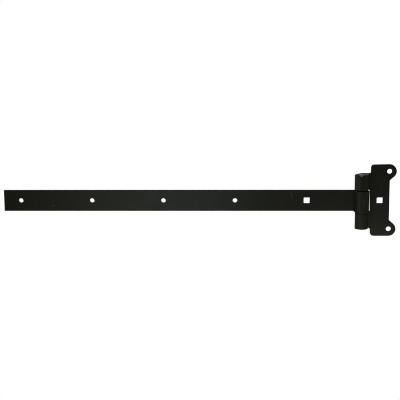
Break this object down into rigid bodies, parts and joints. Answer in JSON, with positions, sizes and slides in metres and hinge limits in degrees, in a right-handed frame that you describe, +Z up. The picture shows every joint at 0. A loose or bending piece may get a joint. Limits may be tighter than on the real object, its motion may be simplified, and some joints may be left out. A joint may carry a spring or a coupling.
{
  "type": "strap hinge",
  "caption": "Heavy black T-shaped door hinge: a long drilled strap with a rolled eye swings on a steel pin held by a tall eared jamb plate with rolled knuckles.",
  "frame": {"origin": "centre of the jamb plate's square bolt hole, on the back face that lies against the jamb", "axes": "+X from the strap towards the plate's ears, +Y out of the back faces into the door and jamb, +Z up along the pin"},
  "size_m": [0.6576, 0.0221, 0.1215],
  "materials": {
    "black_coat": "satin black coat on hot-rolled steel, faintly mottled, chipped at edges and worn to steel on the knuckle ends",
    "zinc": "dull zinc-plated steel, turned ends"
  },
  "bodies": {
    "jamb_side": {"jamb_plate": "black_coat", "hinge_pin": "zinc"},
    "door_side": {"strap_leaf": "black_coat"}
  },
  "joints": [
    {"name": "strap_swing", "type": "hinge", "parent": "jamb_side", "child": "door_side", "pos_m": [-0.0307, -0.01105, 0], "axis": [0, 0, 1], "range_deg": [-95, 190]}
  ]
}
